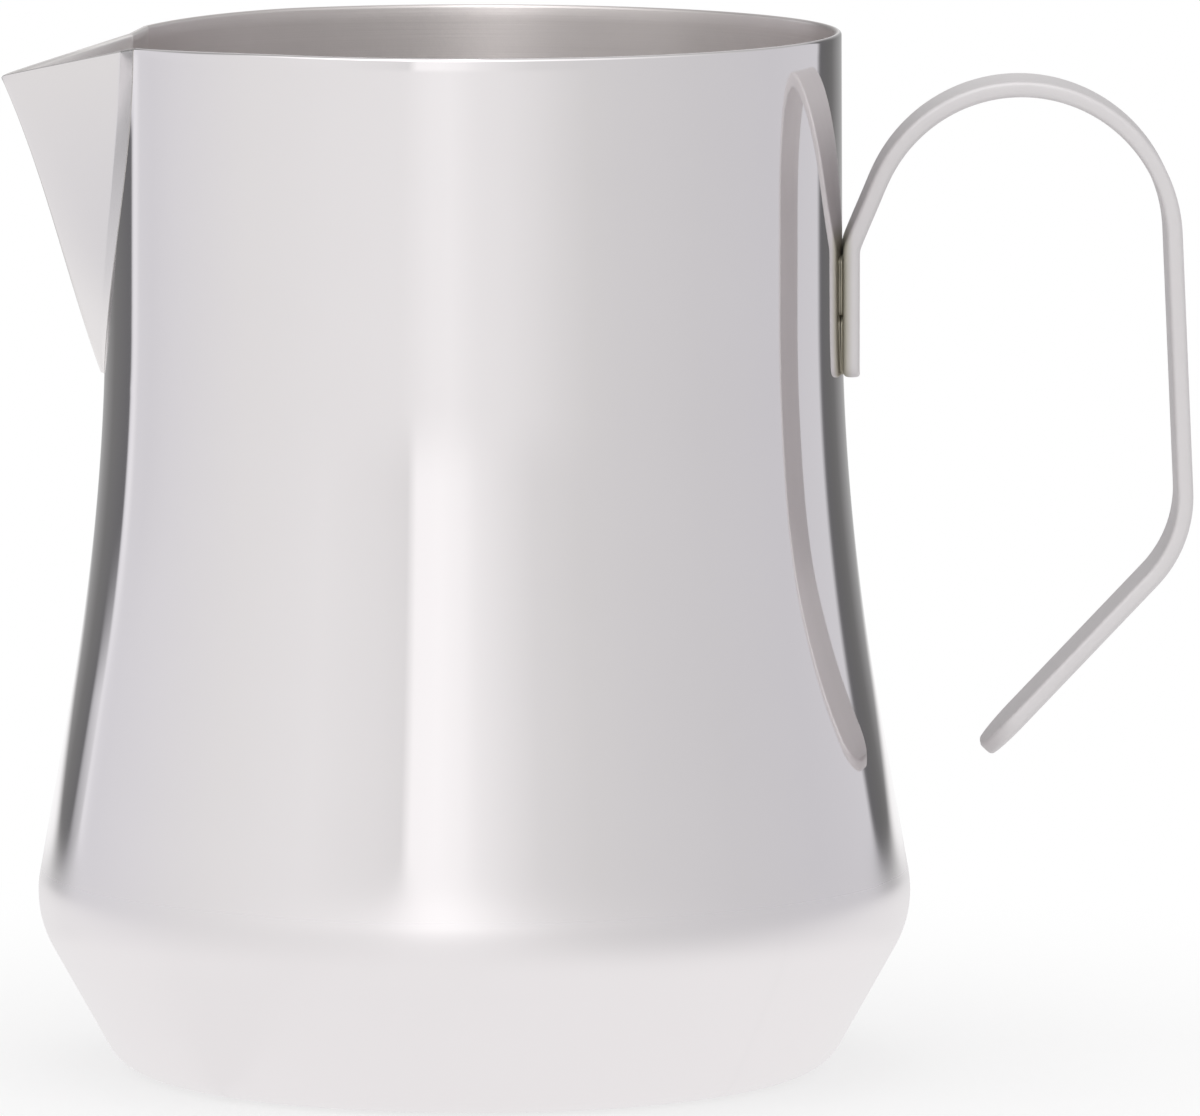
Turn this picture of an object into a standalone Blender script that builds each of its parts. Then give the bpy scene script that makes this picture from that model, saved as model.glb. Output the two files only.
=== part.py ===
"""Milk frothing pitcher: a drawn steel cup, a pressed beak spout and a bent strip handle, welded together.

The origin is the centre of the underside. +Z is up, the spout points along -X and the handle along +X.
"""

import math

import bmesh
import bpy
from mathutils import Vector

MM = 0.001

# Cup: the outer wall is four straight runs, from rim to base centre, with a round between each two.
HEIGHT = 95.0 * MM
RIM_RADIUS = 33.5 * MM
NECK_RADIUS = 33.7 * MM
NECK_HEIGHT = 52.3 * MM
NECK_ROUND = 200.0 * MM
BELLY_RADIUS = 40.4 * MM
BELLY_HEIGHT = 14.5 * MM
BELLY_ROUND = 10.0 * MM
BASE_RADIUS = 32.3 * MM
BASE_ROUND = 4.4 * MM
WALL = 0.6 * MM
RIM_ROUND = 0.2 * MM

# Spout: a beak folded along its spine, seated in a notch that opens at the rim.
SPOUT_LENGTH = 31.2 * MM
SPOUT_MOUTH_WIDTH = 27.4 * MM
SPOUT_FOOT_WIDTH = 2.4 * MM
SPOUT_REACH = 9.5 * MM
SPOUT_TIP_DROP = 4.1 * MM
SPOUT_FOOT_PROUD = 0.35 * MM
SPOUT_FOOT_LEAN = math.radians(19.8)
SPOUT_TIP_LEAN = math.radians(24.2)
SPOUT_FOLD = 0.6 * MM
SPOUT_FLANGE = 3.6 * MM
SPOUT_FLANGE_TAPER = 2.3
SPOUT_FLANGE_FACING = math.radians(22.5)
SPOUT_GAP = 0.6 * MM

# Handle: one flat strip. It runs up a tab on the wall, over an arch, down a straight run and in along a leg.
STRAP_WIDTH = 10.0 * MM
STRAP_THICKNESS = 1.5 * MM
TAB_END_ROUND = 1.0 * MM
LEG_END_ROUND = 4.2 * MM
STRAP_STANDOFF = 0.2 * MM
TAB_DEPTH = 31.3 * MM
TAB_LENGTH = 11.2 * MM
TAB_BEND = 3.0 * MM
RISE_LENGTH = 5.25 * MM
RISE_LEAN = math.radians(20.0)
ARCH_RADIUS = 13.95 * MM
RUN_LENGTH = 23.5 * MM
RUN_LEAN = math.radians(2.6)
LEG_BEND = 11.0 * MM
LEG_LENGTH = 21.95 * MM
LEG_LEAN = math.radians(43.4)

# Welds
WELD_CLEARANCE = 0.05 * MM
HANDLE_WELD_WIDTH = 6.0 * MM
HANDLE_WELD_HEIGHT = 4.8 * MM
HANDLE_WELD_INSET = 0.2 * MM

# Facets
CUP_SEGMENTS = 72
ROUND_STEPS = 5
SPOUT_ROWS = 12
SPOUT_COLUMNS = 5
BEND_STEP = math.radians(9.0)
STRAP_END_STEPS = 5
BEAD_RESOLUTION = 2
SHARP_EDGE = math.radians(60.0)
MERGE = 0.01 * MM


def rounded_corner(before, corner, after, radius):
    """Points of the arc that rounds the corner between two straight runs."""
    towards_before = (before - corner).normalized()
    towards_after = (after - corner).normalized()
    half_angle = towards_before.angle(towards_after) / 2
    centre = corner + (towards_before + towards_after).normalized() * (radius / math.sin(half_angle))
    first = corner + towards_before * (radius / math.tan(half_angle)) - centre
    turn = math.copysign(math.pi - 2 * half_angle, towards_after.cross(towards_before))
    start = math.atan2(first.y, first.x)
    angles = [start + turn * step / ROUND_STEPS for step in range(ROUND_STEPS + 1)]
    return [centre + radius * Vector((math.cos(angle), math.sin(angle))) for angle in angles]


def cup_outline():
    """(radius, height) points down the outside of the cup, from the rim to the centre of the base."""
    rim = Vector((RIM_RADIUS, HEIGHT))
    neck = Vector((NECK_RADIUS, NECK_HEIGHT))
    belly = Vector((BELLY_RADIUS, BELLY_HEIGHT))
    base = Vector((BASE_RADIUS, 0.0))
    centre = Vector((0.0, 0.0))
    outline = [rim]
    outline += rounded_corner(rim, neck, belly, NECK_ROUND)
    outline += rounded_corner(neck, belly, base, BELLY_ROUND)
    outline += rounded_corner(belly, base, centre, BASE_ROUND)
    return outline + [centre]


def wall_radius(height):
    """Outside radius of the cup at a height."""
    outline = cup_outline()
    for upper, lower in zip(outline, outline[1:]):
        if lower.y <= height <= upper.y and upper.y > lower.y:
            return lower.x + (upper.x - lower.x) * (height - lower.y) / (upper.y - lower.y)
    return RIM_RADIUS


def seam_point(share, outward=0.0):
    """Point on the wall's outside by one edge of the spout, a distance outward from that edge.

    The share runs from 0 at the spout's foot to 1 at the rim.
    """
    foot, mouth = SPOUT_FOOT_WIDTH / 2, SPOUT_MOUTH_WIDTH / 2
    slope = 2 * (mouth - foot) * (1 - share) / SPOUT_LENGTH
    step = outward / math.hypot(1.0, slope)
    half_width = foot + (mouth - foot) * (1 - (1 - share) ** 2) + step
    height = HEIGHT - SPOUT_LENGTH * (1 - share) - slope * step
    return on_wall(half_width, height)


def on_wall(half_width, height):
    """Point on the wall's outside at a distance to the spout's near side and a height."""
    return Vector((-math.sqrt(wall_radius(height) ** 2 - half_width ** 2), -half_width, height))


def seam_line(outward):
    """Points along the spout's near edge, a distance outward from it, from under its foot to the rim."""
    foot = on_wall(SPOUT_FOOT_WIDTH / 2, HEIGHT - SPOUT_LENGTH - outward)
    return [foot] + [seam_point(row / SPOUT_ROWS, outward) for row in range(SPOUT_ROWS + 1)]


def mirrored(points):
    """The same points on the far side, in reverse order."""
    return [Vector((point.x, -point.y, point.z)) for point in reversed(points)]


def spine_point(share):
    """Point on the outside of the spout's fold: a curve that leaves the wall at the foot and flares at the tip."""
    foot_height = HEIGHT - SPOUT_LENGTH
    foot = Vector((-wall_radius(foot_height) - SPOUT_FOOT_PROUD, 0.0, foot_height))
    tip = Vector((-RIM_RADIUS - SPOUT_REACH, 0.0, HEIGHT - SPOUT_TIP_DROP))
    third = (tip.z - foot.z) / 3
    low = foot + third * Vector((-math.tan(SPOUT_FOOT_LEAN), 0.0, 1.0))
    high = tip - third * Vector((-math.tan(SPOUT_TIP_LEAN), 0.0, 1.0))
    back = 1 - share
    return back ** 3 * foot + 3 * back ** 2 * share * low + 3 * back * share ** 2 * high + share ** 3 * tip


def spout_section(share):
    """Points across one half of the beak: wall seam, flange, then a flat side that rounds into the fold."""
    seam = seam_point(share)
    spine = spine_point(share)
    flange = SPOUT_FLANGE * (1 - (1 - share) ** SPOUT_FLANGE_TAPER)
    across = math.copysign(math.cos(SPOUT_FLANGE_FACING), -seam.y)
    crease = seam + flange * Vector((-math.sin(SPOUT_FLANGE_FACING), across, 0.0))
    section = [seam]
    spread = math.hypot(crease.y, SPOUT_FOLD) - SPOUT_FOLD
    for column in range(SPOUT_COLUMNS + 1):
        width = (1 - column / SPOUT_COLUMNS) ** 2
        bulge = (math.hypot(crease.y * width, SPOUT_FOLD) - SPOUT_FOLD) / spread
        section.append(Vector((
            spine.x + (crease.x - spine.x) * bulge,
            crease.y * width,
            spine.z + (crease.z - spine.z) * width,
        )))
    return section


def strap_path():
    """(point, heading) along the strip's middle from the tab's lower end; a heading of 0 is up, and it turns outward."""
    wall = max(wall_radius(HEIGHT - TAB_DEPTH), RIM_RADIUS)
    point = Vector((wall + STRAP_STANDOFF + STRAP_THICKNESS / 2, HEIGHT - TAB_DEPTH))
    heading = 0.0
    path = [(point, heading)]
    runs = (
        (TAB_LENGTH, TAB_BEND, RISE_LEAN),
        (RISE_LENGTH, ARCH_RADIUS, math.pi - RUN_LEAN),
        (RUN_LENGTH, LEG_BEND, math.pi + LEG_LEAN),
    )
    for length, radius, next_heading in runs:
        point = point + length * Vector((math.sin(heading), math.cos(heading)))
        path.append((point, heading))
        centre = point + radius * Vector((math.cos(heading), -math.sin(heading)))
        steps = max(2, round((next_heading - heading) / BEND_STEP))
        for step in range(1, steps + 1):
            angle = heading + (next_heading - heading) * step / steps
            path.append((centre + radius * Vector((-math.cos(angle), math.sin(angle))), angle))
        point, heading = path[-1]
    path.append((point + LEG_LENGTH * Vector((math.sin(heading), math.cos(heading))), heading))
    return path


def rounded_ends(path):
    """(point, half width) along the strip, with stations added where its corners are rounded at both ends."""
    half = STRAP_WIDTH / 2
    stations = []
    ends = ((path[0][0], path[1][0], TAB_END_ROUND), (path[-1][0], path[-2][0], LEG_END_ROUND))
    for end, inner, radius in ends:
        inward = (inner - end).normalized()
        row = []
        for step in range(STRAP_END_STEPS + 1):
            angle = math.pi / 2 * step / STRAP_END_STEPS
            along = inward * radius * (1 - math.cos(angle))
            row.append((end + along, half - radius * (1 - math.sin(angle))))
        stations.append(row)
    middle = [(point, half) for point, heading in path[1:-1]]
    return stations[0] + middle + stations[1][::-1]


def new_object(name, data, collection, material):
    """An object in its collection, with its material."""
    part = bpy.data.objects.new(name, data)
    collection.objects.link(part)
    data.materials.append(material)
    return part


def sheet_mesh(name, rows):
    """An open sheet through equal rows of points."""
    mesh = bpy.data.meshes.new(name)
    sheet = bmesh.new()
    grid = [[sheet.verts.new(point) for point in row] for row in rows]
    for row, next_row in zip(grid, grid[1:]):
        for near, far, far_next, near_next in zip(row, row[1:], next_row[1:], next_row):
            sheet.faces.new((near, far, far_next, near_next))
    sheet.to_mesh(mesh)
    sheet.free()
    mesh.shade_smooth()
    return mesh


def cutter_from_outline(name, outline, depth, collection):
    """A prism on an outline of (y, z) points, reaching from the axis out along -X."""
    curve = bpy.data.curves.new(name, "CURVE")
    curve.dimensions = "2D"
    curve.fill_mode = "BOTH"
    curve.extrude = depth / 2
    spline = curve.splines.new("POLY")
    spline.points.add(len(outline) - 1)
    for point, (across, up) in zip(spline.points, outline):
        point.co = (across, up, 0.0, 1.0)
    spline.use_cyclic_u = True
    drawn = bpy.data.objects.new(name, curve)
    collection.objects.link(drawn)
    drawn.rotation_euler = (math.pi / 2, 0.0, math.pi / 2)
    drawn.location.x = -depth / 2
    bpy.context.view_layer.update()
    mesh = bpy.data.meshes.new_from_object(drawn.evaluated_get(bpy.context.evaluated_depsgraph_get()))
    welded = bmesh.new()
    welded.from_mesh(mesh)
    bmesh.ops.remove_doubles(welded, verts=welded.verts, dist=MERGE)
    welded.to_mesh(mesh)
    welded.free()
    cutter = bpy.data.objects.new(name, mesh)
    collection.objects.link(cutter)
    cutter.matrix_world = drawn.matrix_world
    bpy.data.objects.remove(drawn)
    return mark_cutter(cutter)


def mark_cutter(cutter):
    """Show a cutter as wire and keep it out of the model."""
    cutter.display_type = "WIRE"
    cutter.hide_render = True
    return cutter


def subtract(part, cutter):
    """Cut one solid out of another."""
    cut = part.modifiers.new(cutter.name, "BOOLEAN")
    cut.operation = "DIFFERENCE"
    cut.solver = "EXACT"
    cut.object = cutter


def thicken(part, thickness, offset):
    """Give a sheet its thickness; an offset of -1 keeps the sheet as the outside, 0 keeps it in the middle."""
    solidify = part.modifiers.new("sheet", "SOLIDIFY")
    solidify.thickness = thickness
    solidify.offset = offset
    solidify.use_even_offset = True


def make_body(parts, cutters, material):
    """The cup: its outline turned round the axis, thickened inward, with the spout's notch cut out."""
    outline = cup_outline()
    mesh = bpy.data.meshes.new("pitcher_body")
    points = [(point.x, 0.0, point.y) for point in outline]
    mesh.from_pydata(points, [(index, index + 1) for index in range(len(points) - 1)], [])
    body = new_object("pitcher_body", mesh, parts, material)
    turn = body.modifiers.new("turn", "SCREW")
    turn.steps = CUP_SEGMENTS
    turn.render_steps = CUP_SEGMENTS
    turn.use_merge_vertices = True
    turn.merge_threshold = MERGE
    thicken(body, WALL, -1.0)
    lip = body.modifiers.new("rim_round", "BEVEL")
    lip.limit_method = "ANGLE"
    lip.angle_limit = SHARP_EDGE
    lip.width = RIM_ROUND
    lip.segments = 2

    edge = seam_line(SPOUT_GAP)
    edge.append(edge[-1] + Vector((0.0, 0.0, SPOUT_GAP)))
    notch = [(point.y, point.z) for point in edge + mirrored(edge)]
    subtract(body, cutter_from_outline("spout_notch", notch, 2 * BELLY_RADIUS, cutters))
    return body


def make_spout(parts, material):
    """The beak: half of it lofted from foot to rim, mirrored across the fold and thickened inward."""
    rows = [spout_section(row / SPOUT_ROWS) for row in range(SPOUT_ROWS + 1)]
    spout = new_object("spout", sheet_mesh("spout", rows), parts, material)
    mirror = spout.modifiers.new("other_side", "MIRROR")
    mirror.use_axis = (False, True, False)
    mirror.merge_threshold = MERGE
    thicken(spout, WALL, -1.0)
    return spout


def make_spout_weld(parts, material):
    """The bead that fills the gap between the beak and the notch, from rim to rim round the foot."""
    middle = Vector((WALL / 2, 0.0, 0.0))
    edge = [point + middle for point in seam_line(SPOUT_GAP / 2)]
    edge[-1].z -= SPOUT_GAP / 2
    path = mirrored(edge) + edge
    curve = bpy.data.curves.new("spout_weld", "CURVE")
    curve.dimensions = "3D"
    curve.bevel_depth = SPOUT_GAP / 2 - WELD_CLEARANCE
    curve.bevel_resolution = BEAD_RESOLUTION
    curve.use_fill_caps = True
    spline = curve.splines.new("POLY")
    spline.points.add(len(path) - 1)
    for point, place in zip(spline.points, path):
        point.co = (*place, 1.0)
    weld = new_object("spout_weld", curve, parts, material)
    join = weld.modifiers.new("caps", "WELD")
    join.merge_threshold = MERGE
    return weld


def make_handle(parts, material):
    """The strip: a sheet that follows the bent path, with round corners at its ends, thickened both ways."""
    rows = []
    for point, half_width in rounded_ends(strap_path()):
        rows.append([Vector((point.x, across, point.y)) for across in (-half_width, 0.0, half_width)])
    handle = new_object("handle_strap", sheet_mesh("handle_strap", rows), parts, material)
    thicken(handle, STRAP_THICKNESS, 0.0)
    return handle


def make_handle_weld(name, height, parts, cutters, material):
    """A flat weld pad in the gap between the cup's round wall and the strip's flat tab."""
    wall = max(wall_radius(height - HANDLE_WELD_HEIGHT / 2), wall_radius(height + HANDLE_WELD_HEIGHT / 2))
    outside = strap_path()[0][0].x - STRAP_THICKNESS / 2 - WELD_CLEARANCE
    depth = STRAP_STANDOFF + STRAP_THICKNESS
    bpy.ops.mesh.primitive_cube_add(size=1.0)
    pad = bpy.context.object
    for collection in pad.users_collection:
        collection.objects.unlink(pad)
    parts.objects.link(pad)
    pad.name = name
    pad.data.name = name
    pad.data.materials.append(material)
    for vertex in pad.data.vertices:
        vertex.co.x *= depth
        vertex.co.y *= HANDLE_WELD_WIDTH
        vertex.co.z *= HANDLE_WELD_HEIGHT
    pad.location = (outside - depth / 2, 0.0, height)
    bpy.ops.mesh.primitive_cylinder_add(
        vertices=CUP_SEGMENTS * 2, radius=wall + WELD_CLEARANCE, depth=2 * HANDLE_WELD_HEIGHT, location=(0, 0, height)
    )
    wall_cutter = bpy.context.object
    for collection in wall_cutter.users_collection:
        collection.objects.unlink(wall_cutter)
    cutters.objects.link(wall_cutter)
    wall_cutter.name = name + "_wall"
    subtract(pad, mark_cutter(wall_cutter))
    return pad


def steel(name, colour, roughness):
    """Bare stainless steel in one of its finishes."""
    material = bpy.data.materials.new(name)
    material.use_nodes = True
    shader = material.node_tree.nodes["Principled BSDF"]
    shader.inputs["Base Color"].default_value = (*colour, 1.0)
    shader.inputs["Metallic"].default_value = 1.0
    shader.inputs["Roughness"].default_value = roughness
    return material


def main():
    for old in list(bpy.data.objects):
        bpy.data.objects.remove(old)
    parts = bpy.data.collections.new("milk_pitcher")
    cutters = bpy.data.collections.new("cutters")
    bpy.context.scene.collection.children.link(parts)
    bpy.context.scene.collection.children.link(cutters)

    pitcher = bpy.data.objects.new("pitcher", None)
    parts.objects.link(pitcher)
    polished = steel("polished_steel", (0.80, 0.79, 0.80), 0.06)
    pressed = steel("pressed_steel", (0.79, 0.78, 0.78), 0.12)
    satin = steel("satin_steel", (0.72, 0.71, 0.70), 0.35)
    weld = steel("weld_steel", (0.58, 0.55, 0.46), 0.40)
    tab_foot = HEIGHT - TAB_DEPTH
    lower = tab_foot + HANDLE_WELD_INSET + HANDLE_WELD_HEIGHT / 2
    upper = tab_foot + TAB_LENGTH - HANDLE_WELD_INSET - HANDLE_WELD_HEIGHT / 2
    pieces = [
        make_body(parts, cutters, polished),
        make_spout(parts, pressed),
        make_spout_weld(parts, weld),
        make_handle(parts, satin),
        make_handle_weld("handle_weld_lower", lower, parts, cutters, weld),
        make_handle_weld("handle_weld_upper", upper, parts, cutters, weld),
    ]
    for piece in pieces:
        piece.parent = pitcher


main()
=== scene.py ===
"""A polished steel milk pitcher with a welded spout and an open strip handle, on a white studio floor."""

import math

import bmesh
import bpy
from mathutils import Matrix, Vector


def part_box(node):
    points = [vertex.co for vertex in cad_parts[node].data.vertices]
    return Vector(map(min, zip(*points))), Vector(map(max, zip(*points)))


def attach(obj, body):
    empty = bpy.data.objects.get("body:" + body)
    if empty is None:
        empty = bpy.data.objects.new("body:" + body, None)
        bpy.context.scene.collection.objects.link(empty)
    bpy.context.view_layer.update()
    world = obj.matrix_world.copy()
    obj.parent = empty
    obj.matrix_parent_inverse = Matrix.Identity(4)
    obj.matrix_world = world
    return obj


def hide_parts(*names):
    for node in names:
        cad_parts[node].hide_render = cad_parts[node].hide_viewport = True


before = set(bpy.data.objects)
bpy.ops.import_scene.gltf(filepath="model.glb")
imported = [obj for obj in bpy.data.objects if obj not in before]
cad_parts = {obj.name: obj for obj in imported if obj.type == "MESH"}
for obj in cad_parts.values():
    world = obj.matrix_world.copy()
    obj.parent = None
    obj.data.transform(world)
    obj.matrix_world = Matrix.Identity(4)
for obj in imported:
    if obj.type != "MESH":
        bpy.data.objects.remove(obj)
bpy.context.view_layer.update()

# Cup
# One sheet of stainless steel, drawn deep, bulged at the belly and necked in, base and wall in one piece.
# The outside is polished to a mirror that dulls towards the belly, the inside keeps a satin finish of fine
# rings, and the rim is rounded over. A notch is cut in the rim for the spout.
MM = 0.001
cup_height = 95.0 * MM
cup_wall = 0.6 * MM
rim_radius = 33.5 * MM
neck_corner = Vector((33.7 * MM, 52.3 * MM))
neck_round = 200.0 * MM
belly_corner = Vector((40.39 * MM, 14.5 * MM))
belly_round = 10.0 * MM
base_corner = Vector((32.3 * MM, 0.0))
base_round = 4.4 * MM
rim_dip = 1.2 * MM
rim_dip_angle = math.radians(60.0)
rim_dip_reach = 10.0 * MM
rim_dip_power = 1.5
spout_length = 31.2 * MM
spout_mouth = 27.4 * MM
cup_columns = 224
base_rings = 6
base_round_steps = 12
skirt_rings = 6
belly_round_steps = 18
flank_rings = 10
neck_round_steps = 36
collar_rings = 22
lip_steps = 8
merge_gap = 0.0005 * MM
crease_angle = math.radians(50.0)
OUTSIDE = 0
INSIDE = 1
mirror_colours = ((0.832, 0.802, 0.810), (0.864, 0.834, 0.842))
mirror_roughness = (0.03, 0.06)
mirror_wave_depth = 0.004 * MM
cloud_scale = 45.0
wave_scale = 30.0
dull_top = 26.0 * MM
dull_full = 15.0 * MM
dull_roughness = 0.30
satin_colours = ((0.70, 0.658, 0.648), (0.78, 0.738, 0.728))
satin_roughness = (0.32, 0.44)
ring_depth = 0.010 * MM
ring_lines = 6000.0
ring_stretch = 0.75
ring_quarter_turn = 0.25


def round_corner(before, corner, after, radius, steps):
    """Points of the arc that rounds a corner between two straight runs."""
    back = (before - corner).normalized()
    on = (after - corner).normalized()
    half_angle = back.angle(on) / 2
    centre = corner + (back + on).normalized() * (radius / math.sin(half_angle))
    start = corner + back * (radius / math.tan(half_angle)) - centre
    turn = math.copysign(math.pi - 2 * half_angle, on.cross(back))
    first = math.atan2(start.y, start.x)
    angles = [first + turn * step / steps for step in range(steps + 1)]
    return [centre + radius * Vector((math.cos(angle), math.sin(angle))) for angle in angles]


def straight_run(start, end, steps):
    """Points between two ends of a straight run, without the ends."""
    return [start.lerp(end, step / steps) for step in range(1, steps)]


def cup_outline():
    """(radius, height) points up the outside of the cup, from the centre of the base to the lip."""
    centre = Vector((0.0, 0.0))
    lip = Vector((rim_radius, cup_height - cup_wall / 2))
    base = round_corner(centre, base_corner, belly_corner, base_round, base_round_steps)
    belly = round_corner(base_corner, belly_corner, neck_corner, belly_round, belly_round_steps)
    neck = round_corner(belly_corner, neck_corner, lip, neck_round, neck_round_steps)
    outline = [centre] + straight_run(centre, base[0], base_rings) + base
    outline += straight_run(base[-1], belly[0], skirt_rings) + belly
    outline += straight_run(belly[-1], neck[0], flank_rings) + neck
    return outline + straight_run(neck[-1], lip, collar_rings) + [lip]


def wall_radius(height):
    """Outside radius of the cup at a height on its wall."""
    for low, high in zip(cup_profile, cup_profile[1:]):
        if low.y <= height <= high.y and high.y > low.y:
            return low.x + (high.x - low.x) * (height - low.y) / (high.y - low.y)
    return rim_radius


def notch_half_width(height):
    """Half the width of the notch in the wall that the spout closes, at a height."""
    share = (height - cup_height + spout_length) / spout_length
    return spout_mouth / 2 * (1 - (1 - share) ** 2) if share > 0 else 0.0


def rim_fall(angle, height):
    """How far the wall's top edge dips towards the spout, faded out below the rim."""
    from_spout = min(angle, 2 * math.pi - angle)
    if from_spout >= rim_dip_angle:
        return 0.0
    near_rim = max(0.0, 1 - (cup_height - height) / rim_dip_reach)
    return rim_dip * (1 - from_spout / rim_dip_angle) ** rim_dip_power * near_rim


def ring_of(mesh, points):
    """A ring of vertices at its points, in a working mesh."""
    return [mesh.verts.new(point) for point in points]


def cup_ring(mesh, radius, height):
    """One ring of the cup, from the notch's near edge round to its far edge."""
    half_width = notch_half_width(height)
    edge = math.asin(half_width / wall_radius(height)) if half_width else 0.0
    ring = []
    for column in range(cup_columns + 1):
        angle = edge + (2 * math.pi - 2 * edge) * column / cup_columns
        fall = rim_fall(angle, height)
        ring.append(Vector((-radius * math.cos(angle), -radius * math.sin(angle), height - fall)))
    return ring_of(mesh, ring)


def add_band(mesh, lower, upper, finish):
    """A band of faces between two rings of vertices."""
    for left, right, right_up, left_up in zip(lower, lower[1:], upper[1:], upper):
        mesh.faces.new((left, right, right_up, left_up)).material_index = finish


def way_along(path, index):
    """Direction of a path at one of its points."""
    ahead = path[min(index + 1, len(path) - 1)]
    behind = path[max(index - 1, 0)]
    return (ahead - behind).normalized()


def piece_from(mesh, name, *materials):
    """A smooth piece made from a working mesh, riding on the pitcher's one body."""
    bmesh.ops.remove_doubles(mesh, verts=mesh.verts, dist=merge_gap)
    bmesh.ops.recalc_face_normals(mesh, faces=mesh.faces)
    data = bpy.data.meshes.new(name)
    mesh.to_mesh(data)
    mesh.free()
    data.shade_smooth()
    for material in materials:
        data.materials.append(material)
    piece = bpy.data.objects.new(name, data)
    bpy.context.scene.collection.objects.link(piece)
    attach(piece, "root")
    return piece


cup_profile = cup_outline()
cup_inner = []
for index, point in enumerate(cup_profile):
    along = way_along(cup_profile, index)
    cup_inner.append(point + cup_wall * Vector((-along.y, along.x)))
lip_centre = Vector((rim_radius - cup_wall / 2, cup_height - cup_wall / 2))
lip_angles = [math.pi * step / lip_steps for step in range(1, lip_steps)]
lip_profile = [lip_centre + cup_wall / 2 * Vector((math.cos(a), math.sin(a))) for a in lip_angles]

cup_mesh = bmesh.new()
outer_rings = [cup_ring(cup_mesh, *point) for point in cup_profile]
lip_rings = [cup_ring(cup_mesh, *point) for point in lip_profile]
inner_rings = [cup_ring(cup_mesh, *point) for point in cup_inner]
for lower, upper in zip(outer_rings, outer_rings[1:]):
    add_band(cup_mesh, lower, upper, OUTSIDE)
lip_chain = [outer_rings[-1]] + lip_rings + [inner_rings[-1]]
for step in range(lip_steps):
    lip_finish = OUTSIDE if step < lip_steps / 2 else INSIDE
    add_band(cup_mesh, lip_chain[step], lip_chain[step + 1], lip_finish)
for lower, upper in zip(inner_rings, inner_rings[1:]):
    add_band(cup_mesh, upper, lower, INSIDE)
for side in (0, -1):
    for row in range(len(cup_profile) - 1):
        if notch_half_width(cup_profile[row + 1].y):
            cut = (outer_rings[row], outer_rings[row + 1], inner_rings[row + 1], inner_rings[row])
            cup_mesh.faces.new([ring[side] for ring in cut]).material_index = INSIDE
    cup_mesh.faces.new([ring[side] for ring in lip_chain]).material_index = INSIDE

MIX_SHARE = 0
MIX_FIRST = 6
MIX_SECOND = 7
MIX_RESULT = 2


def new_material(name, metallic):
    """A material with its node tree and shader, metallic by a share."""
    material = bpy.data.materials.new(name)
    material.use_nodes = True
    shader = material.node_tree.nodes["Principled BSDF"]
    shader.inputs["Metallic"].default_value = metallic
    return material, material.node_tree, shader


def new_group(name, inputs, outputs):
    """A shader node group with named inputs, and named values as its outputs."""
    group = bpy.data.node_groups.new(name, "ShaderNodeTree")
    for label, kind in inputs:
        group.interface.new_socket(label, in_out="INPUT", socket_type=kind)
    for label in outputs:
        group.interface.new_socket(label, in_out="OUTPUT", socket_type="NodeSocketFloat")
    return group, group.nodes.new("NodeGroupInput"), group.nodes.new("NodeGroupOutput")


def add_node(tree, kind, settings=None, **values):
    """A node with its settings and input values; input names are written with underscores."""
    node = tree.nodes.new(kind)
    for name, value in (settings or {}).items():
        setattr(node, name, value)
    for name, value in values.items():
        node.inputs[name.replace("_", " ")].default_value = value
    return node


def join_values(tree, operation, first, second, clamp=False):
    """Two values joined by one operation; each is a number or comes from another node."""
    node = add_node(tree, "ShaderNodeMath", {"operation": operation, "use_clamp": clamp})
    for socket, value in zip(node.inputs, (first, second)):
        if isinstance(value, float):
            socket.default_value = value
        else:
            tree.links.new(value, socket)
    return node.outputs["Value"]


def carry_value(tree, value, span, result, change="SMOOTHSTEP"):
    """A value carried over from one span to another, with soft ends unless it is linear."""
    node = add_node(tree, "ShaderNodeMapRange", {"interpolation_type": change})
    for name, number in zip(("From Min", "From Max", "To Min", "To Max"), (*span, *result)):
        node.inputs[name].default_value = number
    tree.links.new(value, node.inputs["Value"])
    return node.outputs["Result"]


def mix_colours(tree, share, first, second):
    """Two colours mixed by a share; each is written out or comes from another node."""
    node = add_node(tree, "ShaderNodeMix", {"data_type": "RGBA"})
    tree.links.new(share, node.inputs[MIX_SHARE])
    for place, colour in ((MIX_FIRST, first), (MIX_SECOND, second)):
        if isinstance(colour, tuple):
            node.inputs[place].default_value = (*colour, 1.0)
        else:
            tree.links.new(colour, node.inputs[place])
    return node.outputs[MIX_RESULT]


def lead_finish(tree, shader, marks, colours, roughness, depth, strength=1.0):
    """Lead a finish into a shader; its marks give the tone, the gloss and the relief."""
    tone, gloss, relief = marks
    colour = mix_colours(tree, tone, *colours)
    rough = carry_value(tree, gloss, (0.0, 1.0), roughness, "LINEAR")
    bump = add_node(tree, "ShaderNodeBump", Strength=strength, Distance=depth)
    tree.links.new(relief, bump.inputs["Height"])
    tree.links.new(colour, shader.inputs["Base Color"])
    tree.links.new(rough, shader.inputs["Roughness"])
    tree.links.new(bump.outputs["Normal"], shader.inputs["Normal"])
    return colour, rough


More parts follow.
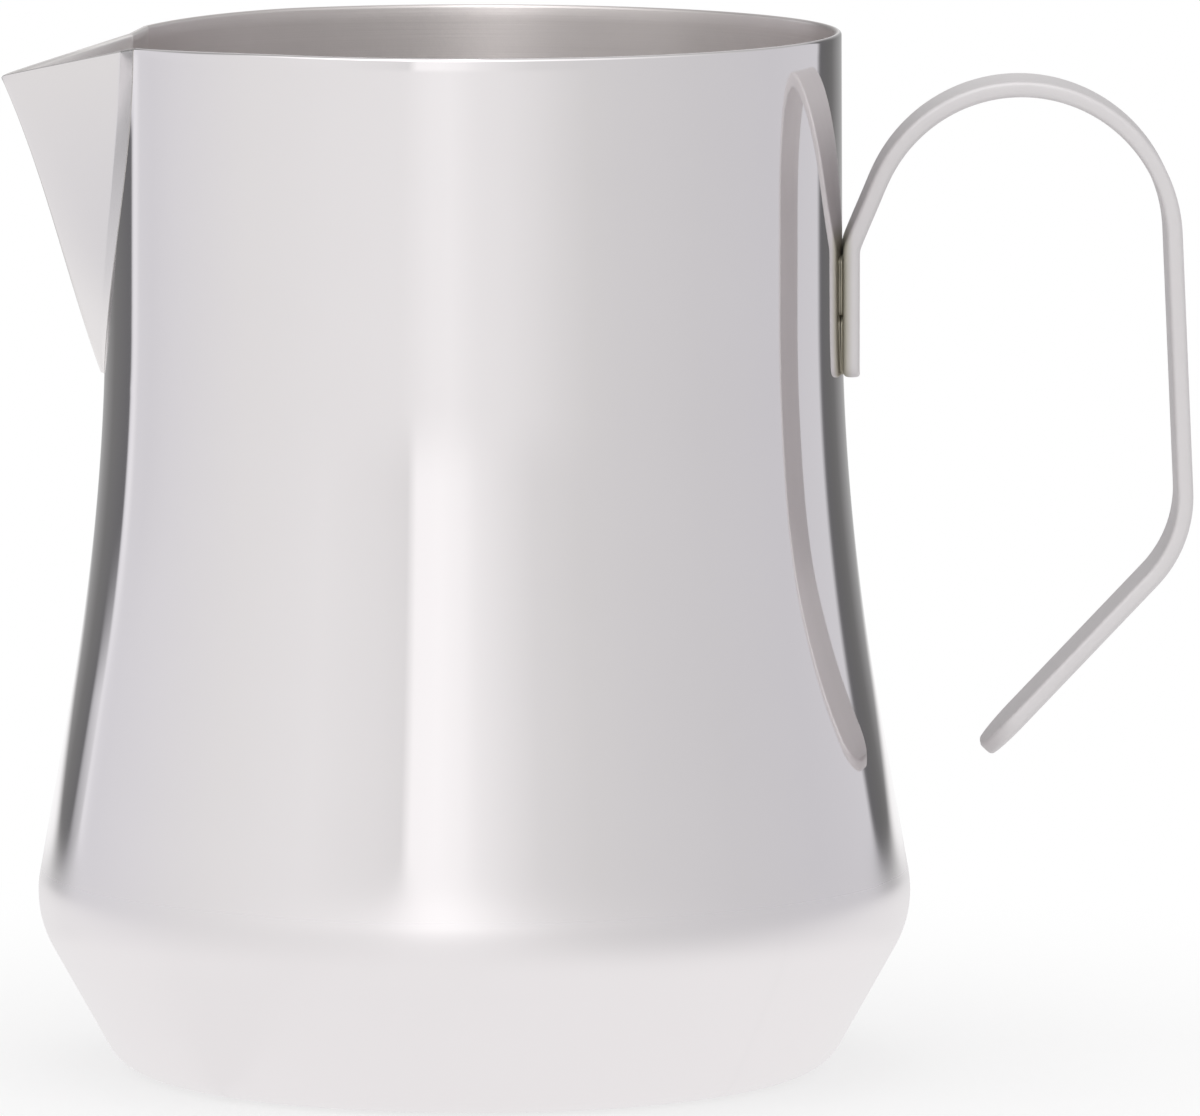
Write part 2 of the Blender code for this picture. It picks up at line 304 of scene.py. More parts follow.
# Polishing leaves broad faint clouds where the wheel pressed harder, and a slight waviness in the sheet.
polish_haze, haze_in, haze_out = new_group(
    "polish_haze",
    [("Cloud Scale", "NodeSocketFloat"), ("Wave Scale", "NodeSocketFloat")],
    ["Haze", "Wave"],
)
haze_place = add_node(polish_haze, "ShaderNodeTexCoord")
haze_cloud = add_node(polish_haze, "ShaderNodeTexNoise", Detail=5.0, Roughness=0.6)
haze_wave = add_node(polish_haze, "ShaderNodeTexNoise", Detail=1.0, Roughness=0.3)
for texture, scale, result in ((haze_cloud, "Cloud Scale", "Haze"), (haze_wave, "Wave Scale", "Wave")):
    polish_haze.links.new(haze_place.outputs["Object"], texture.inputs["Vector"])
    polish_haze.links.new(haze_in.outputs[scale], texture.inputs["Scale"])
    polish_haze.links.new(texture.outputs["Fac"], haze_out.inputs[result])

# Satin steel has fine parallel scratches of uneven depth, with a few longer and deeper ones.
satin_grain, grain_in, grain_out = new_group(
    "satin_grain",
    [("Across", "NodeSocketFloat"), ("Along", "NodeSocketVector"), ("Lines", "NodeSocketFloat")],
    ["Grain", "Tone"],
)
grain_slow = add_node(satin_grain, "ShaderNodeVectorMath", {"operation": "SCALE"}, Scale=40.0)
grain_join = add_node(satin_grain, "ShaderNodeCombineXYZ")
grain_sum = add_node(satin_grain, "ShaderNodeVectorMath", {"operation": "ADD"})
grain_fine = add_node(satin_grain, "ShaderNodeTexNoise", Scale=1.0, Detail=4.0, Roughness=0.7)
grain_broad = add_node(satin_grain, "ShaderNodeTexNoise", Scale=0.06, Detail=3.0, Roughness=0.6)
grain_fast = join_values(satin_grain, "MULTIPLY", grain_in.outputs["Across"], grain_in.outputs["Lines"])
satin_grain.links.new(grain_in.outputs["Along"], grain_slow.inputs[0])
satin_grain.links.new(grain_fast, grain_join.inputs["Z"])
satin_grain.links.new(grain_join.outputs["Vector"], grain_sum.inputs[0])
satin_grain.links.new(grain_slow.outputs["Vector"], grain_sum.inputs[1])
for texture, result in ((grain_fine, "Grain"), (grain_broad, "Tone")):
    satin_grain.links.new(grain_sum.outputs["Vector"], texture.inputs["Vector"])
    satin_grain.links.new(texture.outputs["Fac"], grain_out.inputs[result])


def polished_steel(name, colours, roughness, wave_depth, dull_zone=None):
    """Mirror-polished stainless steel, clouded slightly by polishing and duller below a zone where given."""
    material, tree, shader = new_material(name, 1.0)
    haze = add_node(tree, "ShaderNodeGroup", {"node_tree": polish_haze},
                    Cloud_Scale=cloud_scale, Wave_Scale=wave_scale)
    marks = (haze.outputs["Haze"], haze.outputs["Haze"], haze.outputs["Wave"])
    _, rough = lead_finish(tree, shader, marks, colours, roughness, wave_depth)
    if dull_zone:
        place = add_node(tree, "ShaderNodeTexCoord")
        parts = add_node(tree, "ShaderNodeSeparateXYZ")
        tree.links.new(place.outputs["Object"], parts.inputs["Vector"])
        dull = carry_value(tree, parts.outputs["Z"], dull_zone, (0.0, dull_roughness))
        tree.links.new(join_values(tree, "ADD", dull, rough), shader.inputs["Roughness"])
    return material


def ringed_steel(name, colours, roughness):
    """Satin stainless steel with fine rings round the cup's axis, as turning and brushing leave them."""
    material, tree, shader = new_material(name, 1.0)
    shader.inputs["Anisotropic"].default_value = ring_stretch
    shader.inputs["Anisotropic Rotation"].default_value = ring_quarter_turn
    around = add_node(tree, "ShaderNodeTangent", {"direction_type": "RADIAL", "axis": "Z"})
    place = add_node(tree, "ShaderNodeTexCoord")
    parts = add_node(tree, "ShaderNodeSeparateXYZ")
    flat = add_node(tree, "ShaderNodeCombineXYZ")
    radius = add_node(tree, "ShaderNodeVectorMath", {"operation": "LENGTH"})
    grain = add_node(tree, "ShaderNodeGroup", {"node_tree": satin_grain}, Lines=ring_lines)
    tree.links.new(around.outputs["Tangent"], shader.inputs["Tangent"])
    tree.links.new(place.outputs["Object"], parts.inputs["Vector"])
    tree.links.new(parts.outputs["X"], flat.inputs["X"])
    tree.links.new(parts.outputs["Y"], flat.inputs["Y"])
    tree.links.new(flat.outputs["Vector"], radius.inputs[0])
    across = join_values(tree, "ADD", radius.outputs["Value"], parts.outputs["Z"])
    tree.links.new(across, grain.inputs["Across"])
    tree.links.new(flat.outputs["Vector"], grain.inputs["Along"])
    marks = (grain.outputs["Tone"], grain.outputs["Grain"], grain.outputs["Grain"])
    lead_finish(tree, shader, marks, colours, roughness, ring_depth)
    return material


cup_outside = polished_steel("cup_mirror", mirror_colours, mirror_roughness, mirror_wave_depth,
                             (dull_top, dull_full))
cup_inside = ringed_steel("cup_satin", satin_colours, satin_roughness)
cup = piece_from(cup_mesh, "cup", cup_outside, cup_inside)
cup.data.set_sharp_from_angle(angle=crease_angle)
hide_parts("pitcher_body")

# Spout
# A beak pressed from the same sheet and folded along its spine. A narrow flange on each side bends back to
# meet the wall, where it is welded into the notch and ground smooth. Its lips dip towards a sharp tip.
spout_foot_width = 2.4 * MM
spout_reach = 9.6 * MM
spout_tip_drop = 4.1 * MM
spout_foot_proud = 0.35 * MM
spout_foot_lean = math.radians(19.8)
spout_tip_lean = math.radians(24.2)
spout_fold = 0.45 * MM
spout_flange = 3.4 * MM
spout_flange_foot = 0.25 * MM
spout_flange_taper = 1.6
spout_flange_facing = math.radians(30.0)
spout_flange_turn = math.radians(9.5)
spout_shoulder_drop = 0.45 * MM
spout_shoulder_power = 6
spout_flange_edge = 0.04
spout_side_edge = 0.01
spout_rows = 48
spout_columns = 18
spout_colours = ((0.85, 0.82, 0.815), (0.88, 0.85, 0.845))
spout_roughness = (0.20, 0.26)
spout_wave_depth = 0.006 * MM
spout_inner_colours = ((0.84, 0.81, 0.80), (0.91, 0.88, 0.87))
spout_inner_roughness = (0.30, 0.42)


def seam_point(share):
    """Point on the wall by the spout's near edge, at a share of the way from its foot to the rim."""
    foot = spout_foot_width / 2
    half_width = foot + (spout_mouth / 2 - foot) * (1 - (1 - share) ** 2)
    height = cup_height - spout_length * (1 - share)
    radius = wall_radius(height)
    fall = rim_fall(math.asin(half_width / radius), height)
    return Vector((-math.sqrt(radius ** 2 - half_width ** 2), -half_width, height - fall))


def spine_point(share):
    """Point on the spout's fold, on a curve that leaves the wall at the foot and flares at the tip."""
    foot_height = cup_height - spout_length
    foot = Vector((-wall_radius(foot_height) - spout_foot_proud, 0.0, foot_height))
    tip = Vector((-rim_radius - spout_reach, 0.0, cup_height - spout_tip_drop))
    third = (tip.z - foot.z) / 3
    low = foot + third * Vector((-math.tan(spout_foot_lean), 0.0, 1.0))
    high = tip - third * Vector((-math.tan(spout_tip_lean), 0.0, 1.0))
    back = 1 - share
    return back ** 3 * foot + 3 * back ** 2 * share * low + 3 * back * share ** 2 * high + share ** 3 * tip


def spout_corners(share, inset):
    """Seam, crease and fold of the beak's near half, moved inward through the sheet by an inset."""
    seam = seam_point(share)
    spine = spine_point(share)
    facing = spout_flange_facing - spout_flange_turn * share
    flange = spout_flange_foot + spout_flange * (1 - (1 - share) ** spout_flange_taper)
    flange_way = Vector((-math.sin(facing), math.cos(facing), 0.0))
    crease = seam + flange * flange_way
    crease.z -= spout_shoulder_drop * share ** spout_shoulder_power
    side_way = Vector((spine.x - crease.x, -crease.y, 0.0)).normalized()
    flange_in = Vector((flange_way.y, -flange_way.x, 0.0))
    side_in = Vector((side_way.y, -side_way.x, 0.0))
    seam -= inset * Vector((seam.x, seam.y, 0.0)).normalized()
    crease += inset / (1 + flange_in.dot(side_in)) * (flange_in + side_in)
    spine.x += inset / side_in.x
    return seam, crease, spine


def spout_section(mesh, share, inset):
    """A ring across the beak: near seam, flange, flat side that rounds into the fold, and the same beyond."""
    seam, crease, spine = spout_corners(share, inset)
    near = [seam]
    near += [seam.lerp(crease, part) for part in (spout_flange_edge, 0.5, 1 - spout_flange_edge)]
    widths = [1.0, 1 - spout_side_edge]
    widths += [(1 - column / spout_columns) ** 2 for column in range(1, spout_columns + 1)]
    spread = math.hypot(crease.y, spout_fold) - spout_fold
    for width in widths:
        bulge = (math.hypot(crease.y * width, spout_fold) - spout_fold) / spread
        near.append(Vector((
            spine.x + (crease.x - spine.x) * bulge,
            crease.y * width,
            spine.z + (crease.z - spine.z) * width,
        )))
    far = [Vector((point.x, -point.y, point.z)) for point in reversed(near[:-1])]
    return ring_of(mesh, near + far)


spout_top = 1 - cup_wall / 2 / spout_length
spout_outer = [(spout_top * row / spout_rows, 0.0) for row in range(spout_rows + 1)]
spout_lip = [
    (spout_top + cup_wall / 2 * math.sin(angle) / spout_length, cup_wall / 2 * (1 - math.cos(angle)))
    for angle in lip_angles
]
spout_inner = [(share, cup_wall) for share, _ in reversed(spout_outer)]
spout_mesh = bmesh.new()
spout_rings = [spout_section(spout_mesh, *row) for row in spout_outer + spout_lip + spout_inner]
lip_middle = spout_rows + lip_steps // 2
for step, (lower, upper) in enumerate(zip(spout_rings, spout_rings[1:])):
    add_band(spout_mesh, lower, upper, OUTSIDE if step < lip_middle else INSIDE)
add_band(spout_mesh, spout_rings[-1], spout_rings[0], INSIDE)
for side in (0, -1):
    for row in range(spout_rows):
        cut = (spout_rings[row], spout_rings[row + 1], spout_rings[-2 - row], spout_rings[-1 - row])
        spout_mesh.faces.new([ring[side] for ring in cut]).material_index = INSIDE
    spout_end = spout_rings[spout_rows:spout_rows + lip_steps + 1]
    spout_mesh.faces.new([ring[side] for ring in spout_end]).material_index = INSIDE

spout_outside = polished_steel("spout_polish", spout_colours, spout_roughness, spout_wave_depth)
spout_inside = ringed_steel("spout_satin", spout_inner_colours, spout_inner_roughness)
spout = piece_from(spout_mesh, "spout_beak", spout_outside, spout_inside)
spout.data.set_sharp_from_angle(angle=crease_angle)
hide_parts("spout")

# Spout weld
# The weld runs down one side of the notch, round the spout's foot and up the other side. It is ground nearly
# flush, so only a thin line of slightly duller metal shows.
bead_radius = 0.14 * MM
bead_sink = 0.8 * bead_radius
bead_sides = 10
bead_rows = 48
seam_colours = ((0.58, 0.56, 0.55), (0.52, 0.49, 0.46))
seam_roughness = (0.22, 0.36)
seam_bare = 1.0
tint_patch_scale = 900.0
tint_ripple_scale = 1500.0
tint_ripple_depth = 0.03 * MM
tint_ripple_strength = 0.6


def skin_rings(mesh, rings):
    """A closed skin over a row of rings, with a face on each end."""
    for lower, upper in zip(rings, rings[1:]):
        add_band(mesh, lower + lower[:1], upper + upper[:1], OUTSIDE)
    mesh.faces.new(rings[0])
    mesh.faces.new(rings[-1])


def bead_along(path):
    """A closed round bead of even radius along a path on the wall."""
    mesh = bmesh.new()
    rings = []
    angles = [2 * math.pi * step / bead_sides for step in range(bead_sides)]
    for index, point in enumerate(path):
        along = way_along(path, index)
        side = along.cross(Vector((point.x, point.y, 0.0)).normalized()).normalized()
        out = side.cross(along)
        ring = [point + bead_radius * (math.cos(a) * out + math.sin(a) * side) for a in angles]
        rings.append(ring_of(mesh, ring))
    skin_rings(mesh, rings)
    return mesh


def tinted_steel(name, colours, roughness, bare):
    """Weld metal: bare steel with patches of straw heat tint, less metallic the more oxide covers it."""
    material, tree, shader = new_material(name, bare)
    haze = add_node(tree, "ShaderNodeGroup", {"node_tree": polish_haze},
                    Cloud_Scale=tint_patch_scale, Wave_Scale=tint_ripple_scale)
    marks = (haze.outputs["Haze"], haze.outputs["Wave"], haze.outputs["Wave"])
    lead_finish(tree, shader, marks, colours, roughness, tint_ripple_depth, tint_ripple_strength)
    return material


bead_near = [seam_point(row / bead_rows) for row in range(bead_rows, -1, -1)]
bead_near = [point + Vector((bead_sink, 0.0, 0.0)) for point in bead_near]
bead_near[0].z -= bead_radius
bead_far = [Vector((point.x, -point.y, point.z)) for point in reversed(bead_near)]
seam_steel = tinted_steel("seam_steel", seam_colours, seam_roughness, seam_bare)
spout_bead = piece_from(bead_along(bead_near + bead_far), "spout_bead", seam_steel)
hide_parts("spout_weld")

# Handle
# One flat steel strip with softened edges and round ends, bent cold: a flat tab set close against the wall,
# an arch, a straight run and a leg that ends free. It keeps a dull satin finish with fine scratches along it.
strap_width = 10.0 * MM
strap_thickness = 1.5 * MM
strap_edge = 0.42 * MM
strap_edge_steps = 4
tab_end_round = 1.0 * MM
leg_end_round = 4.2 * MM
end_steps = 16
strap_standoff = 0.2 * MM
tab_depth = 31.3 * MM
tab_length = 11.2 * MM
tab_hold_end = 19.0 * MM
leg_length = 21.95 * MM
# Length of each straight run, radius of the bend after it, and the heading that the bend reaches.
strap_runs = (
    (tab_length, 3.0 * MM, math.radians(20.0)),
    (5.25 * MM, 13.95 * MM, math.pi - math.radians(2.6)),
    (23.5 * MM, 11.0 * MM, math.pi + math.radians(43.4)),
)
run_steps = 6
leg_steps = 8
bend_step = math.radians(2.5)
fewest_bend_steps = 4
strip_colours = ((0.66, 0.637, 0.642), (0.725, 0.702, 0.707))
strip_roughness = (0.54, 0.64)
strip_metallic = 0.5
scratch_depth = 0.004 * MM
scratch_lines = 4000.0
scratch_drift = 6.0
# Dark olive on the tab's face and edges by the wall, all along the tab: partly heat tint, partly painted shade
# of the narrow gap behind it.
tint_and_gap_shade_colour = (0.46, 0.44, 0.36)
tint_and_gap_shade_full = 33.6 * MM
tint_and_gap_shade_end = 34.6 * MM


def strap_way(heading):
    """Direction along the strip for a heading; 0 is up, and it turns outward."""
    return Vector((math.sin(heading), math.cos(heading)))


def strap_stations():
    """(distance, point, heading) along the strip's middle."""
    tab_foot = cup_height - tab_depth
    point = Vector((wall_radius(tab_foot) + strap_standoff + strap_thickness / 2, tab_foot))
    distance = 0.0
    heading = 0.0
    stations = [(distance, point, heading)]
    for length, radius, next_heading in strap_runs:
        for step in range(1, run_steps + 1):
            ahead = length * step / run_steps
            stations.append((distance + ahead, point + strap_way(heading) * ahead, heading))
        distance, point, heading = stations[-1]
        centre = point + radius * Vector((math.cos(heading), -math.sin(heading)))
        turn = next_heading - heading
        steps = max(fewest_bend_steps, round(turn / bend_step))
        for step in range(1, steps + 1):
            angle = heading + turn * step / steps
            place = centre + radius * Vector((-math.cos(angle), math.sin(angle)))
            stations.append((distance + radius * turn * step / steps, place, angle))
        distance, point, heading = stations[-1]
    for step in range(1, leg_steps + 1):
        ahead = leg_length * step / leg_steps
        stations.append((distance + ahead, point + strap_way(heading) * ahead, heading))
    return stations


def tab_hold(distance):
    """How far the strip is set in against the wall: fully on the tab, not at all past the first bend."""
    past_tab = max(0.0, min(1.0, (distance - tab_length) / (tab_hold_end - tab_length)))
    return 1 - past_tab ** 2 * (3 - 2 * past_tab)


def end_taper(from_end, plan_round):
    """Half width and half thickness of the strip near an end, where its corners and edges are rounded."""
    corner = max(0.0, plan_round - from_end)
    edge = max(0.0, strap_edge - from_end)
    half_width = strap_width / 2 - plan_round + math.sqrt(plan_round ** 2 - corner ** 2)
    half_thickness = strap_thickness / 2 - strap_edge + math.sqrt(strap_edge ** 2 - edge ** 2)
    return half_width, half_thickness


def strap_ring(mesh, distance, point, heading):
    """One rounded cross-section of the strip, set in on the tab so that its edges lie along the round wall."""
    at_leg = strap_total - distance
    nearer_end = (distance, tab_end_round) if distance < at_leg else (at_leg, leg_end_round)
    half_width, half_thickness = end_taper(*nearer_end)
    outward = Vector((-math.cos(heading), 0.0, math.sin(heading)))
    edge = min(strap_edge, half_thickness, half_width)
    ring = []
    for corner, (side_y, side_out) in enumerate(((1, 1), (-1, 1), (-1, -1), (1, -1))):
        for step in range(strap_edge_steps + 1):
            angle = math.pi / 2 * (corner + step / strap_edge_steps)
            across = side_y * (half_width - edge) + edge * math.cos(angle)
            out = side_out * (half_thickness - edge) + edge * math.sin(angle)
            set_in = tab_hold(distance) * (rim_radius - math.sqrt(rim_radius ** 2 - across ** 2))
            ring.append(Vector((point.x - set_in, across, point.y)) + outward * out)
    return ring_of(mesh, ring)


strap_line = strap_stations()
strap_total = strap_line[-1][0]
end_gaps = []
for step in range(end_steps):
    end_gaps.append(strap_edge * (1 - math.cos(math.pi / 2 * step / end_steps)))
    end_gaps.append(leg_end_round * (1 - math.cos(math.pi / 2 * (step + 1) / end_steps)))
end_gaps.sort()
_, tab_point, tab_heading = strap_line[0]
_, leg_point, leg_heading = strap_line[-1]
stations = [(gap, tab_point + gap * strap_way(tab_heading), tab_heading) for gap in end_gaps]
stations += [s for s in strap_line if leg_end_round < s[0] < strap_total - leg_end_round]
for gap in reversed(end_gaps):
    stations.append((strap_total - gap, leg_point - gap * strap_way(leg_heading), leg_heading))
strap_mesh = bmesh.new()
skin_rings(strap_mesh, [strap_ring(strap_mesh, *station) for station in stations])


def strip_steel(name):
    """Dull satin strip: fine scratches along its length, and a dark olive band on the face by the wall, partly
    heat tint and partly painted shade of the narrow gap behind the tab.
    """
    material, tree, shader = new_material(name, strip_metallic)
    place = add_node(tree, "ShaderNodeTexCoord")
    parts = add_node(tree, "ShaderNodeSeparateXYZ")
    drift = add_node(tree, "ShaderNodeVectorMath", {"operation": "SCALE"}, Scale=scratch_drift)
    grain = add_node(tree, "ShaderNodeGroup", {"node_tree": satin_grain}, Lines=scratch_lines)
    tree.links.new(place.outputs["Object"], parts.inputs["Vector"])
    tree.links.new(place.outputs["Object"], drift.inputs[0])
    tree.links.new(parts.outputs["Y"], grain.inputs["Across"])
    tree.links.new(drift.outputs["Vector"], grain.inputs["Along"])
    marks = (grain.outputs["Tone"], grain.outputs["Grain"], grain.outputs["Grain"])
    colour, _ = lead_finish(tree, shader, marks, strip_colours, strip_roughness, scratch_depth)
    # Painted shade of the gap: the tab's face by the wall is darkened to a dark olive all along, on top of its
    # heat tint.
    tint_and_gap_shade = carry_value(tree, parts.outputs["X"], (tint_and_gap_shade_full, tint_and_gap_shade_end), (1.0, 0.0))
    tree.links.new(mix_colours(tree, tint_and_gap_shade, colour, tint_and_gap_shade_colour), shader.inputs["Base Color"])
    return material


handle = piece_from(strap_mesh, "handle_strip", strip_steel("handle_satin"))
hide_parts("handle_strap")

# Handle welds
# Two resistance welds hold the tab to the wall. Each is a thin uneven pad of metal squeezed into the narrow
# gap behind the tab, with a straw heat tint that the polishing wheel could not reach.
pad_width = 8.8 * MM
pad_height = 5.7 * MM
pad_shift = 0.38 * MM
pad_points = 40
pad_corner = 0.35
lower_pad_phase = 0.4
upper_pad_phase = 1.9
# Share of the gap at each layer of a pad, and how far the pad spreads there.
pad_layers = ((-0.05, 0.9), (0.2, 1.0), (0.5, 0.97), (0.8, 1.0), (1.05, 0.9))
# Depth and number of the waves round a pad's edge, and how far the pad's phase turns them.
pad_waves = ((0.03, 5, 1), (0.02, 9, 2))
pad_colours = ((0.62, 0.59, 0.49), (0.52, 0.48, 0.36))
pad_roughness = (0.40, 0.60)
pad_bare = 0.35
pad_tint = tinted_steel("pad_tint", pad_colours, pad_roughness, pad_bare)


def pad_outline(value):
    """A sine or cosine pushed outward, so that a round outline becomes a soft-cornered box."""
    return math.copysign(abs(value) ** pad_corner, value)


def weld_pad(node, phase, shift):
    """One pad between the wall and the tab, close to its solid's height."""
    low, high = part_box(node)
    height = (low[2] + high[2]) / 2 + shift
    wall = wall_radius(height)
    mesh = bmesh.new()
    rings = []
    for gap_share, spread in pad_layers:
        ring = []
        for step in range(pad_points):
            angle = 2 * math.pi * step / pad_points
            wave = sum(deep * math.sin(count * angle + turn * phase) for deep, count, turn in pad_waves)
            across = spread * (1 + wave) * pad_width / 2 * pad_outline(math.cos(angle))
            up = spread * (1 + wave) * pad_height / 2 * pad_outline(math.sin(angle))
            from_axis = math.sqrt(wall ** 2 - across ** 2) + strap_standoff * gap_share
            ring.append(Vector((from_axis, across, height + up)))
        rings.append(ring_of(mesh, ring))
    skin_rings(mesh, rings)
    pad = piece_from(mesh, node.replace("handle_weld", "handle_pad"), pad_tint)
    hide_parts(node)


weld_pad("handle_weld_lower", lower_pad_phase, pad_shift)
weld_pad("handle_weld_upper", upper_pad_phase, -pad_shift)

# Floor
# A plain white paper sheet, wider than the view, with the pitcher standing well forward on it. It keeps a
# soft shadow close by and runs to pure white further out. Mirrors see it white near the pitcher, and it
# fades into the studio towards its front and its back edge.
floor_size = 8.0
floor_colour = (0.96, 0.96, 0.96, 1.0)
floor_roughness = 0.8
shadow_near = 0.045
shadow_far = 0.13
shadow_strength = 0.45
paper_middle = 0.20
paper_reach = 0.14
paper_end = 0.36
paper_front = 0.065
bpy.ops.mesh.primitive_plane_add(size=floor_size)
floor = bpy.context.object
floor.name = "studio_floor"
floor_paper, floor_tree, floor_shader = new_material("floor_paper", 0.0)
floor_shader.inputs["Base Color"].default_value = floor_colour
floor_shader.inputs["Roughness"].default_value = floor_roughness
floor_shader.inputs["Specular IOR Level"].default_value = 0.0
floor_place = add_node(floor_tree, "ShaderNodeTexCoord")
floor_ray = add_node(floor_tree, "ShaderNodeLightPath")
floor_white = add_node(floor_tree, "ShaderNodeEmission", Strength=1.0)
floor_clear = add_node(floor_tree, "ShaderNodeBsdfTransparent")


def floor_distance(middle):
    """Distance over the floor from a middle that lies straight behind the pitcher, or under it at 0."""
    away = add_node(floor_tree, "ShaderNodeVectorMath", {"operation": "DISTANCE"})
    away.inputs[1].default_value = (0.0, middle, 0.0)
    floor_tree.links.new(floor_place.outputs["Object"], away.inputs[0])
    return away.outputs["Value"]


def mix_shaders(tree, share, first, second):
    """Two shaders mixed by a share."""
    node = add_node(tree, "ShaderNodeMixShader")
    for socket, source in zip(node.inputs, (share, first, second)):
        tree.links.new(source, socket)
    return node.outputs["Shader"]


from_pitcher = floor_distance(0.0)
from_paper = floor_distance(paper_middle)
in_view = floor_ray.outputs["Is Camera Ray"]
in_mirror = floor_ray.outputs["Is Glossy Ray"]
shade_lift = carry_value(floor_tree, from_pitcher, (shadow_near, shadow_far), (1 - shadow_strength, 1.0))
paper_gone = carry_value(floor_tree, from_paper, (paper_reach, paper_end), (0.0, 1.0))
front_share = join_values(floor_tree, "DIVIDE", paper_front, from_pitcher, clamp=True)
front_white = join_values(floor_tree, "MULTIPLY", front_share, front_share)
front_gone = join_values(floor_tree, "SUBTRACT", 1.0, front_white)
floor_gone = join_values(floor_tree, "MINIMUM", paper_gone, front_gone)
floor_seen = join_values(floor_tree, "MULTIPLY", in_view, shade_lift)
floor_lit = join_values(floor_tree, "MAXIMUM", floor_seen, in_mirror)
floor_open = join_values(floor_tree, "MULTIPLY", floor_gone, in_mirror)
floor_near = mix_shaders(floor_tree, floor_lit, floor_shader.outputs["BSDF"], floor_white.outputs["Emission"])
floor_whole = mix_shaders(floor_tree, floor_open, floor_near, floor_clear.outputs["BSDF"])
floor_tree.links.new(floor_whole, floor_tree.nodes["Material Output"].inputs["Surface"])
floor.data.materials.append(floor_paper)

# Studio
# Soft white panels stand round the pitcher, with a brighter tall panel by the camera, and the room behind is
# dark, which draws the dark lines down the edges of the steel. For everything but mirrors the light is even.
# Each stop on a ring is an azimuth in degrees, a level of light and a blue tint.
room_left = ((-180, 0.90, 1.0), (-172, 0.45, 1.0), (-161, 0.31, 1.0), (-151, 0.20, 1.0))
room_right = ((152, 0.18, 1.0), (161, 0.31, 1.0), (172, 0.45, 1.0), (180, 0.90, 1.0))
panel_right = (
    (47, 0.765, 1.01), (75, 0.725, 1.02), (107, 0.705, 1.04), (136.5, 0.73, 1.04), (139.5, 0.155, 1.04),
)
low_panel_left = (
    (-135, 0.16, 1.05), (-133.3, 0.94, 1.04), (-130.5, 0.92, 1.03), (-128.5, 0.79, 1.04), (-120, 0.78, 1.04),
    (-106, 0.83, 1.03), (-75, 0.91, 1.0), (-46, 0.95, 1.0), (-22, 0.965, 1.0),
)
low_lamp = (
    (-13, 1.04, 1.0), (-7, 1.055, 1.0), (2, 0.985, 1.0), (11, 0.955, 1.0), (20, 0.90, 1.0), (27, 0.85, 1.0),
    (37, 0.79, 1.0),
)
low_room_corner = ((147, 0.16, 1.0),)
high_panel_left = (
    (-142, 0.16, 1.05), (-140, 1.00, 1.04), (-135, 0.98, 1.03), (-131, 0.82, 1.04), (-126, 0.80, 1.04),
    (-106, 0.845, 1.03), (-75, 0.91, 1.0), (-46, 0.96, 1.0), (-27, 0.92, 1.0), (-19, 0.885, 1.0),
)
high_lamp = (
    (-17.6, 1.16, 1.0), (-9.8, 1.18, 1.0), (-2.7, 1.12, 1.0), (1.6, 1.035, 1.0), (10, 0.945, 1.0),
    (18.7, 0.85, 1.0), (33, 0.79, 1.0),
)
top_room_left = ((-180, 0.85, 1.0), (-140, 0.50, 1.0), (-110, 0.40, 1.0), (-76, 1.10, 1.0))
top_lamp = (
    (-40, 1.8, 1.0), (-22, 2.0, 1.0), (-16, 3.6, 1.0), (-3, 3.6, 1.0), (8, 1.8, 1.0), (23, 1.4, 1.0),
)
top_room_right = ((57, 1.05, 1.0), (97, 0.70, 1.0), (140, 0.50, 1.0), (180, 0.85, 1.0))
panels_low = room_left + low_panel_left + low_lamp + panel_right + low_room_corner + room_right
panels_high = room_left + high_panel_left + high_lamp + panel_right + room_right
panels_top = top_room_left + top_lamp + top_room_right
horizon_rise = (-0.045, 0.03)
lamp_rise = (0.26, 0.5)
panel_strength = 0.943
even_white = (1.0, 1.0, 1.0, 1.0)
studio = bpy.data.worlds.new("studio")
bpy.context.scene.world = studio
studio.use_nodes = True
sky = studio.node_tree
sky_place = add_node(sky, "ShaderNodeTexCoord")
sky_parts = add_node(sky, "ShaderNodeSeparateXYZ")
sky.links.new(sky_place.outputs["Generated"], sky_parts.inputs["Vector"])
sky_front = join_values(sky, "MULTIPLY", sky_parts.outputs["Y"], -1.0)
sky_turn = join_values(sky, "ARCTAN2", sky_parts.outputs["X"], sky_front)
sky_share = carry_value(sky, sky_turn, (-math.pi, math.pi), (0.0, 1.0), "LINEAR")


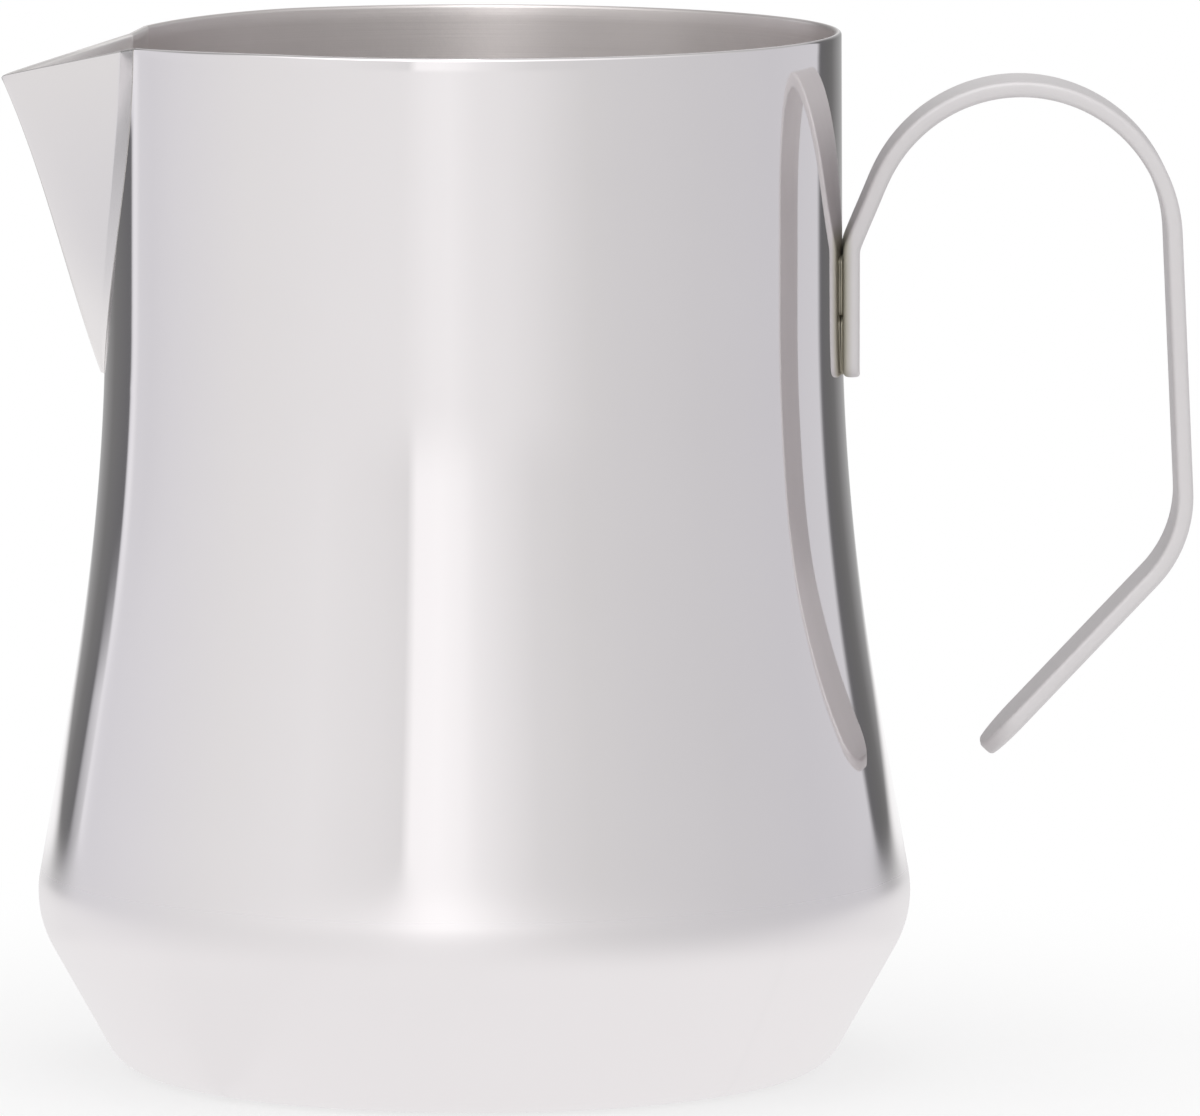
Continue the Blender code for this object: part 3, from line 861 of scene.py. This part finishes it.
def panel_ring(panels):
    """The studio's panels seen round the whole circle, from their stops."""
    ring = add_node(sky, "ShaderNodeValToRGB")
    stops = ring.color_ramp.elements
    stops.remove(stops[1])
    for number, (azimuth, level, blue) in enumerate(panels):
        stop = stops.new(azimuth / 360 + 0.5) if number else stops[0]
        stop.position = azimuth / 360 + 0.5
        stop.color = (level, level, level * blue, 1.0)
    sky.links.new(sky_share, ring.inputs["Fac"])
    return ring.outputs["Color"]


def panel_rise(heights, below, above):
    """Two rings of panels joined over a range of heights."""
    rise = carry_value(sky, sky_parts.outputs["Z"], heights, (0.0, 1.0))
    return mix_colours(sky, rise, below, above)


sky_lower = panel_rise(horizon_rise, panel_ring(panels_low), panel_ring(panels_high))
sky_levels = panel_rise(lamp_rise, sky_lower, panel_ring(panels_top))
sky_ray = add_node(sky, "ShaderNodeLightPath")
sky_even = add_node(sky, "ShaderNodeBackground", Color=even_white, Strength=1.0)
sky_panels = sky.nodes["Background"]
sky_panels.inputs["Strength"].default_value = panel_strength
sky.links.new(sky_levels, sky_panels.inputs["Color"])
sky_whole = mix_shaders(
    sky,
    sky_ray.outputs["Is Glossy Ray"],
    sky_even.outputs["Background"],
    sky_panels.outputs["Background"],
)
sky.links.new(sky_whole, sky.nodes["World Output"].inputs["Surface"])
bpy.context.scene.view_settings.view_transform = "Standard"

# Camera
# A long lens on a tripod, level across and about a metre and a quarter away. It looks slightly down at the
# pitcher's side, with the spout to the left.
camera_distance = 1264.0 * MM
camera_height = 189.5 * MM
aim_height = 46.7 * MM
frame_centre = 11.5 * MM
view_width = 109.7 * MM
camera_data = bpy.data.cameras.new("side_view")
camera = bpy.data.objects.new("side_view", camera_data)
bpy.context.scene.collection.objects.link(camera)
camera.location = (frame_centre, -camera_distance, camera_height)
camera_fall = camera_height - aim_height
camera.rotation_euler = (math.pi / 2 - math.atan2(camera_fall, camera_distance), 0.0, 0.0)
camera_data.lens = camera_data.sensor_width * math.hypot(camera_distance, camera_fall) / view_width
bpy.context.scene.camera = camera
